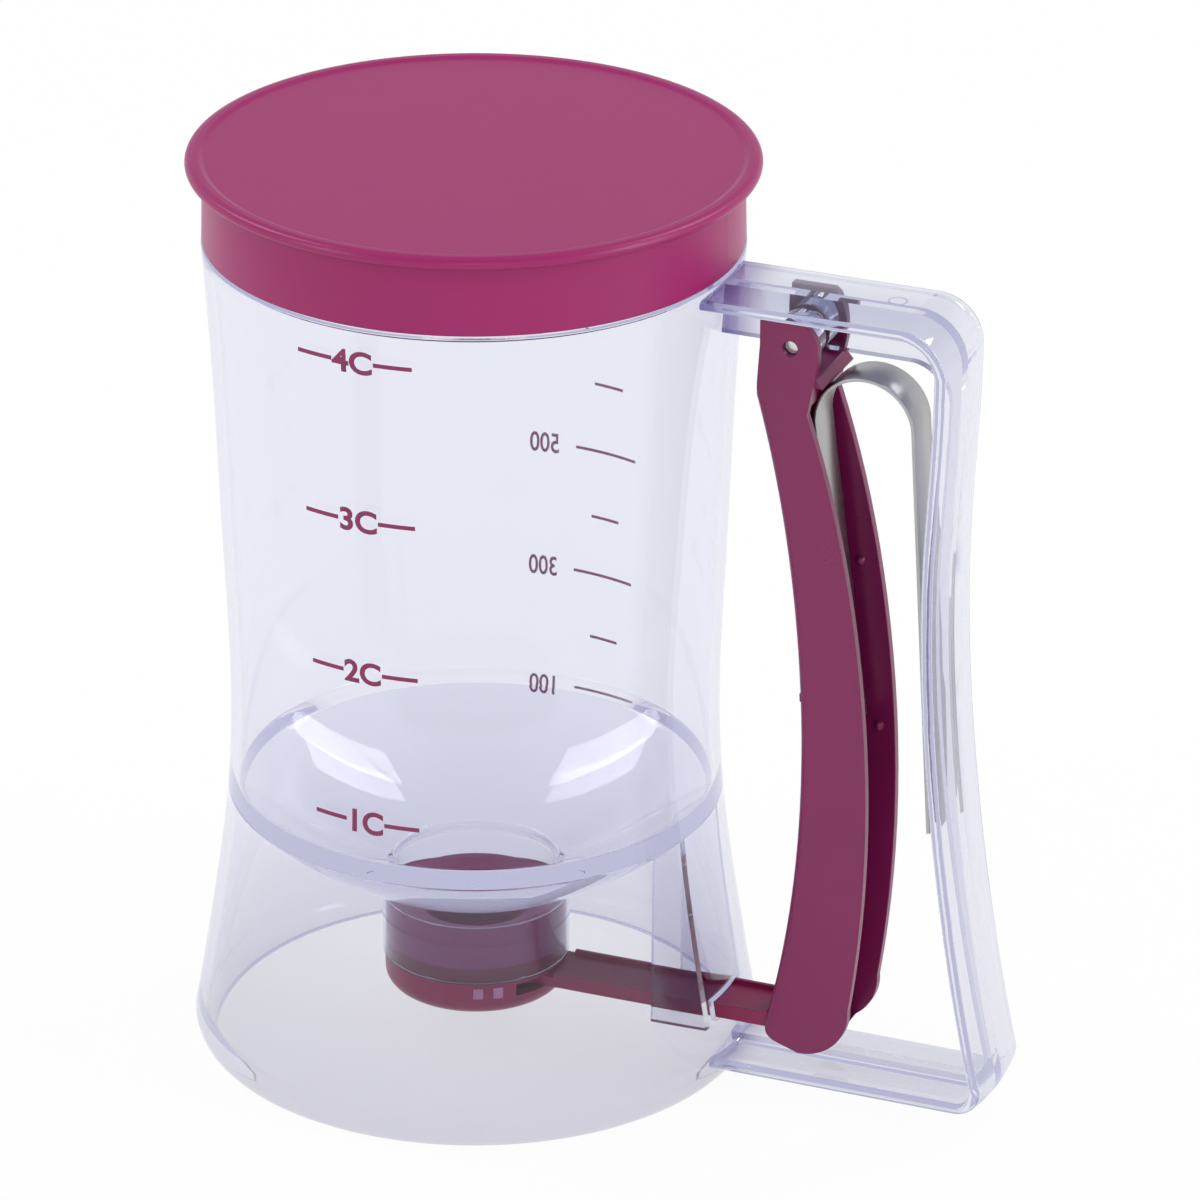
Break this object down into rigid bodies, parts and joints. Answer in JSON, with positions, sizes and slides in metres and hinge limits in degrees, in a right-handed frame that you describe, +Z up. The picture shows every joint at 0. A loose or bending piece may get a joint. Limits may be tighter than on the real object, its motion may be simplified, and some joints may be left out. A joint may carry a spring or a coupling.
{
  "type": "pancake batter dispenser",
  "caption": "Clear measuring jug with a funnel floor, push-on lid, open loop handle and a squeeze trigger that pulls a slide valve under the spout.",
  "frame": {"origin": "on the jug's axis, at the surface that the foot rests on", "axes": "+Z up along the jug's axis, +X out along the handle, +Y to the far side"},
  "size_m": [0.1661, 0.1114, 0.1846],
  "materials": {
    "clear_plastic": "clear, polished, faintly violet",
    "lid_plastic": "satin plum plastic",
    "trigger_plastic": "satin plum plastic",
    "valve_plastic": "satin plum plastic",
    "pin_steel": "turned steel",
    "spring_steel": "rolled spring strip"
  },
  "bodies": {
    "jug": {"cup_wall": "clear_plastic", "funnel": "clear_plastic", "skirt": "clear_plastic", "handle_frame": "clear_plastic", "pivot_pin": "pin_steel", "return_spring": "spring_steel", "valve_seat": "valve_plastic", "retainer_cap": "valve_plastic"},
    "lid": {"lid": "lid_plastic"},
    "trigger": {"trigger": "trigger_plastic"},
    "slide": {"valve_slide": "valve_plastic"}
  },
  "joints": [
    {"name": "trigger_squeeze", "type": "hinge", "parent": "jug", "child": "trigger", "pos_m": [0.0679, 0, 0.1586], "axis": [0, -1, 0], "range_deg": [0, 7], "stiffness_Nm_per_rad": 1.2, "springref_deg": -6.88, "deforming": ["return_spring"]},
    {"name": "valve_travel", "type": "slide", "parent": "jug", "child": "slide", "axis": [1, 0, 0], "range_m": [0, 0.018]},
    {"name": "lid_lift", "type": "slide", "parent": "jug", "child": "lid", "axis": [0, 0, 1], "range_m": [0, 0.04]}
  ],
  "couplings": [
    {"joint": "valve_travel", "follows": "trigger_squeeze", "m_per_rad": 0.1436}
  ]
}
